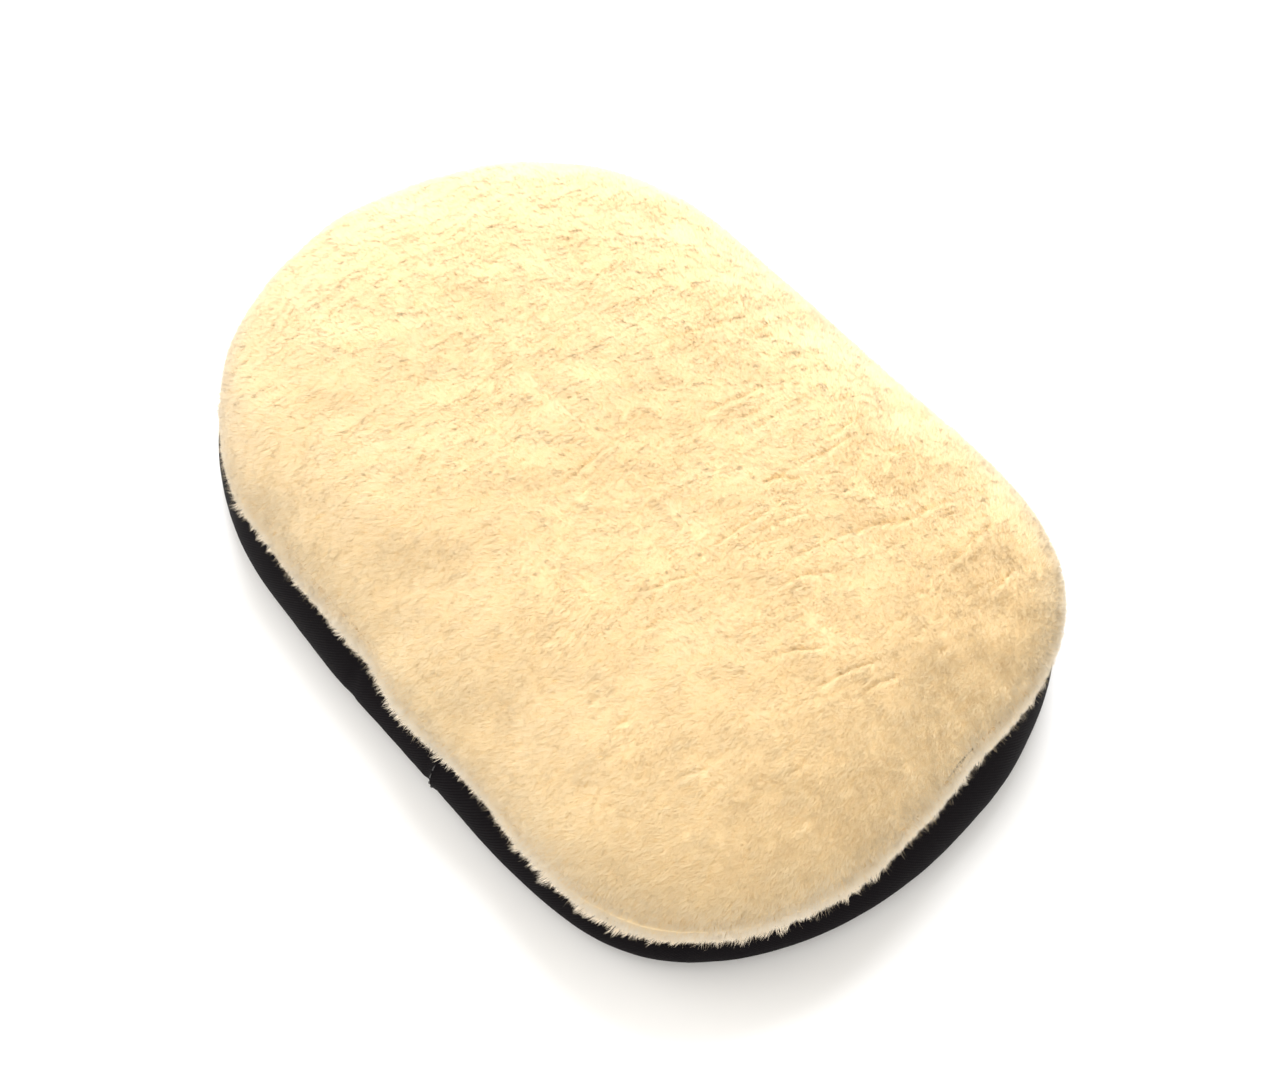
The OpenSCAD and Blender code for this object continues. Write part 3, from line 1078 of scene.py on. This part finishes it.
def area_of(points):
    """Area inside a closed row of points (mm), in square metres."""
    x, y = np.asarray(points)[:, 0], np.asarray(points)[:, 1]
    return abs((x * np.roll(y, -1) - y * np.roll(x, -1)).sum()) / 2 * MM * MM


HALVES = (("right", -1.0, 0.0), ("left", 0.0, 1.0))


def settle(obj, node, body=MITT, side=None):
    """Puts a piece on its body, or, for a pocket piece given a side, bakes its place into its points and
    leaves it on no body.
    """
    if side:
        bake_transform(obj)
    else:
        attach(obj, body)
    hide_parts(node)
    return obj


INSIDE_STEPS = 160
LINING_SIDE = 0.008


def backing(cloth):
    """The knitted backing: a flat sheet with a rounded edge."""
    edge = TOP_IN + 0.2
    low, high = backing_low[2], backing_high[2]
    profile = [(high, edge + 60), (high, edge + 0.5), (high - 0.3, edge)]
    profile += [(low + 0.3, edge), (low, edge + 0.5), (low, edge + 60)]
    sheet = tidy(capped("knit_backing", rings_of(profile, INSIDE_STEPS), cloth, None))
    settle(sheet, "fleece_backing")
    cut = area_of(edge_points(turns(INSIDE_STEPS), TOP_IN))


def gap_in(low, high):
    """How much further in than the wall a node's side lies, from the node's box."""
    return HALF_L - high[0] - float(wall_in(low[2]))


def foam(material):
    """The foam pad, whose side follows the wall."""
    gap = gap_in(foam_low, foam_high)
    side = [(z, float(wall_in(z)) + gap + 0.1) for z in np.linspace(foam_high[2], foam_low[2], 7)]
    (top_z, top_in), (low_z, low_in) = side[0], side[-1]
    side[0] = (top_z - 0.3, top_in)
    profile = [(top_z, top_in + 55), (top_z, top_in + 0.8), *side]
    profile += [(low_z, low_in + 0.8), (low_z, low_in + 55)]
    core = tidy(capped("foam_core", rings_of(profile, INSIDE_STEPS), material, None))
    settle(core, "foam_pad")


def lining(cloth, perimeter):
    """The lining: a tray under the foam, with its side between the foam and the wall."""
    inner, outer = gap_in(foam_low, foam_high), gap_in(lining_low, lining_high)
    under_foam, low, high = foam_low[2] - 0.02, lining_low[2], lining_high[2]
    profile = [(under_foam, 70), (under_foam, 40)]
    profile += [(z, float(wall_in(z)) + inner - 0.05) for z in np.linspace(foam_low[2], high, 6)]
    profile += [(z, float(wall_in(z)) + outer) for z in np.linspace(high, low, 7)]
    profile += [(low, 40), (low, 70)]
    sheet = tidy(capped("hand_lining", rings_of(profile, INSIDE_STEPS), cloth, None))
    settle(sheet, "palm_lining")
    tray = area_of(edge_points(turns(INSIDE_STEPS), 10)) + perimeter * LINING_SIDE


TAPE_T, TAPE_ROUND = 1.4, (0.35, 0.4)


def tapes(material):
    """The tapes round the raw edges of the two seams: thin rings with rounded edges."""
    wavy = lambda points, z: 0.04 * ripple(points * [1, 1, 0], 6, 51)
    for name, node in (("upper_tape", "upper_seam_binding"), ("lower_tape", "lower_seam_binding")):
        low, high = levels(node)
        if node == "lower_seam_binding":
            outer = [(z, HALF_L - high[0]) for z in (low[2], high[2])]
        else:
            gap = gap_in(low, high)
            outer = [(z, float(wall_in(z)) + gap) for z in (low[2], (low[2] + high[2]) / 2, high[2])]
        (low_z, low_in), (top_z, top_in) = outer[0], outer[-1]
        up, aside = TAPE_ROUND
        outer[0], outer[-1] = (low_z + up, low_in), (top_z - up, top_in)
        ring = [*outer, (top_z, top_in + aside), (top_z, top_in + TAPE_T - aside)]
        ring += [(z, inset + TAPE_T) for z, inset in reversed(outer)]
        ring += [(low_z, low_in + TAPE_T - aside), (low_z, low_in + aside)]
        settle(hoop(name, ring, 300, material, wavy), node)


def seam_threads(cream, black):
    """The stitches of the seam under the pile, of the seam round the back, and of the wall's join."""
    path, out = edge_path(0, 0)
    path[:, 2] = np.minimum(lip_height(set_back(path)) + 0.6, WALL_H - 0.1)
    around = zip(np.append(turns(SEAM_STEPS), 0), path[:, 2])
    path[:, :2] = [edge_points(turn, wall_in(z) - 0.1) for turn, z in around]
    seam = stitches("pile_seam", path, out, 3.2, 0.9, cream, 0.35)
    settle(seam, "fleece_seam_thread")
    low, high = levels("back_seam_thread")
    path, _ = edge_path(HALF_L - high[0] + 0.2, low[2] + 0.05)
    seam = stitches("back_seam", path, np.tile(UP, (len(path), 1)), 3.0, 0.8, black)
    settle(seam, "back_seam_thread")
    low, high = levels("gusset_join_thread")
    z = np.linspace(low[2] - 0.4, high[2] + 0.4, 60)
    y = wall_in(z) - right_side(JOIN_X, 0) - 0.35
    path = np.column_stack([np.full(60, JOIN_X + 0.8), y, z])
    seam = stitches("join_seam", path, np.tile([0.0, -1.0, 0.0], (60, 1)), 2.0, 1.0, black)
    settle(seam, "gusset_join_thread")


HEEL_IN, POCKET_IN = HALF_L + heel_low[0], HALF_L - pocket_high[0]
# A hem's cut width (metres), how much longer it is cut than the mouth, and its wall's thickness.
HEM_CUT, HEM_FULL, HEM_FOLD = 0.0234, 1.05, 0.8
HEM_GATHER, HEM_SEED = 0.3, 71


def heel(cloth):
    """The back's fixed panel, on the wrist side of the mouth."""
    sheet = panel("heel", -HALF_L + HEEL_IN + 0.3, heel_high[0], -1, 1, HEEL_IN, cloth, heel_high[0], 61)
    settle(sheet, "heel_panel")


def hems(cloth, band, thread):
    """The mouth's two hems, with the elastic in them and their stitches. The pocket's are in halves."""
    rows = (("heel", heel_hem_low, heel_hem_high, HEEL_IN, [(None, -1.0, 1.0)]),
            ("pocket", lip_low, lip_high, POCKET_IN, HALVES))
    for word, low, high, inset, parts in rows:
        section = rounded(low[0], high[0], low[2], high[2], 1.2)
        space = (low[0] + HEM_FOLD, high[0] - HEM_FOLD, low[2] + HEM_FOLD, high[2] - HEM_FOLD)
        e_low, e_high = levels(f"{word}_elastic")
        strip = rounded(e_low[0], e_high[0], e_low[2], e_high[2], 0.5, 3)
        t_low, t_high = levels(f"{word}_hem_thread")
        for side, s0, s1 in parts:
            tag = f"_{side}" if side else ""
            tube = cross_tube(f"{word}_hem_tube{tag}", section, s0, s1, inset, cloth, 150, HEM_GATHER,
                              HEM_SEED, rounded(*space, 0.6))
            settle(tube, f"{word}_hem", side=side)
            span = 2 * right_side(low[0], inset) * MM * (s1 - s0) / 2
            elastic = cross_tube(f"{word}_elastic_band{tag}", strip, s0, s1, inset + 3, band, 40)
            settle(elastic, f"{word}_elastic", side=side)
            middle = (t_low[0] + t_high[0]) / 2
            path, up = cross_path(middle, s0, s1, inset + 3, high[2] + 0.05, HEM_GATHER, HEM_SEED)
            row = stitches(f"{word}_hem_stitches{tag}", path, up, 2.6, 0.9, thread)
            settle(row, f"{word}_hem_thread", side=side)


def pocket(cloth):
    """The back's moving panel, on the fingertip side of the mouth, in two halves."""
    for side, s0, s1 in HALVES:
        half = panel(f"pocket_{side}", pocket_high[0] - 0.3, pocket_low[0], s0, s1, POCKET_IN, cloth,
                     pocket_low[0], 81, (70, 40))
        settle(half, "pocket_panel", side=side)


def fabric():
    """Every piece but the pile, with its material."""
    wall_cloth = woven("black_wall", *BLACK, 0.5, 0.62, mapped=True)
    back_cloth = woven("black_back", *BLACK, 0.5, 0.66)
    lining_cloth = woven("lining", (0.03, 0.03, 0.032), (0.06, 0.058, 0.06), 0.45, 0.6)
    tape = ribbed("tape", (0.014, 0.013, 0.014), (0.03, 0.028, 0.03), 0.6, mapped=True)
    band = ribbed("elastic", (0.015, 0.015, 0.016), (0.035, 0.035, 0.036), 0.9)
    black_thread = twisted("black_thread", (0.012, 0.012, 0.013), (0.045, 0.043, 0.045))
    cream_thread = twisted("cream_thread", (0.55, 0.44, 0.26), (0.85, 0.74, 0.52))
    knit = knitted("backing", (0.5, 0.42, 0.28), (0.78, 0.69, 0.5))
    cells = open_foam("foam", (0.36, 0.34, 0.3), (0.62, 0.6, 0.55))
    perimeter = wall(wall_cloth)
    backing(knit)
    foam(cells)
    lining(lining_cloth, perimeter)
    tapes(tape)
    seam_threads(cream_thread, black_thread)
    heel(back_cloth)
    hems(back_cloth, band, black_thread)
    pocket(back_cloth)
    for side in ("left", "right"):
        low, high = levels(f"mouth_bartack_{side}")
        settle(bartack(f"bartack_{side}", low, high, black_thread), f"mouth_bartack_{side}")


# ---- camera, floor and light

AZIMUTH, ELEVATION, DISTANCE = math.radians(49.4), math.radians(60), 0.5
LENS, SHIFT = 52.1, (0.0192, 0.0098)
SKY_COLOUR, SKY_STRENGTH = (1, 0.975, 0.93), 1.13


def camera():
    data = bpy.data.cameras.new("camera")
    data.lens, data.sensor_width = LENS, 36
    data.shift_x, data.shift_y = SHIFT
    data.clip_start = 0.01
    obj = placed("camera", data)
    back = Vector((
        math.sin(AZIMUTH) * math.cos(ELEVATION),
        -math.cos(AZIMUTH) * math.cos(ELEVATION),
        math.sin(ELEVATION),
    ))
    obj.location = back * DISTANCE
    obj.rotation_euler = back.to_track_quat("Z", "Y").to_euler()
    bpy.context.scene.camera = obj


def lamp(name, place, size, power, colour):
    data = bpy.data.lights.new(name, "AREA")
    data.shape, data.size, data.energy, data.color = "DISK", size, power, colour
    obj = placed(name, data)
    obj.location = place
    obj.rotation_euler = Vector(place).to_track_quat("Z", "Y").to_euler()


def studio():
    n = Nodes("floor")
    colour = n.ramp(n.noise(3.0), [(0.0, 0.93), (1.0, 0.95)])
    floor_material = n.finish(colour, Roughness=0.9, Specular_IOR_Level=0.1)
    side = 3.0
    corners = [(-side, -side, 0), (side, -side, 0), (side, side, 0), (-side, side, 0)]
    floor = piece("floor", np.array(corners) / MM, [(0, 1, 2, 3)], floor_material, None)
    world = bpy.data.worlds.new("world")
    world.use_nodes = True
    sky = world.node_tree.nodes["Background"]
    sky.inputs["Color"].default_value = (*SKY_COLOUR, 1)
    sky.inputs["Strength"].default_value = SKY_STRENGTH
    bpy.context.scene.world = world
    lamp("key", (-0.75, 0.75, 1.2), 1.0, 30.5, (0.98, 1.0, 1.04))
    lamp("fill", (-1.0, -0.7, 1.0), 1.0, 6.0, (1.0, 0.98, 0.95))
    bpy.context.scene.view_settings.view_transform = "Standard"


camera()
studio()
wool(wool_fibre_material(), wool_root_material())
fabric()
